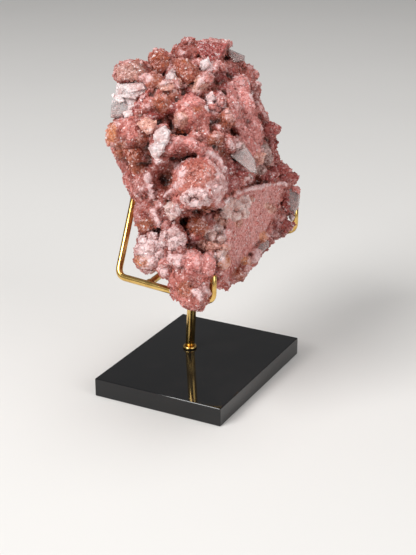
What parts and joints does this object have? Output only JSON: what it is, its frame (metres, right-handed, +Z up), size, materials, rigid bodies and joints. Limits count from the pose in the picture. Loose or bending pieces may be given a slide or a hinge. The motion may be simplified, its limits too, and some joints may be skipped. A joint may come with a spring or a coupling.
{
  "type": "dogtooth calcite cluster on stand",
  "caption": "Rough cluster of pink-red, frost-dusted calcite teeth, held upright by a bent brass wire easel on a polished black slab.",
  "frame": {"origin": "centre of the base's underside", "axes": "+Z up; +Y along the base's long side; +X the way the easel and its hooks face"},
  "size_m": [0.0852, 0.1386, 0.1986],
  "materials": {
    "calcite": "sugary crust, satin",
    "brass": "polished",
    "black_slab": "polished"
  },
  "bodies": {
    "root": {"base": "black_slab", "post_collar": "brass", "post": "brass", "cross_bar": "brass", "left_arm": "brass", "right_arm": "brass", "calcite_cluster": "calcite"}
  },
  "joints": []
}
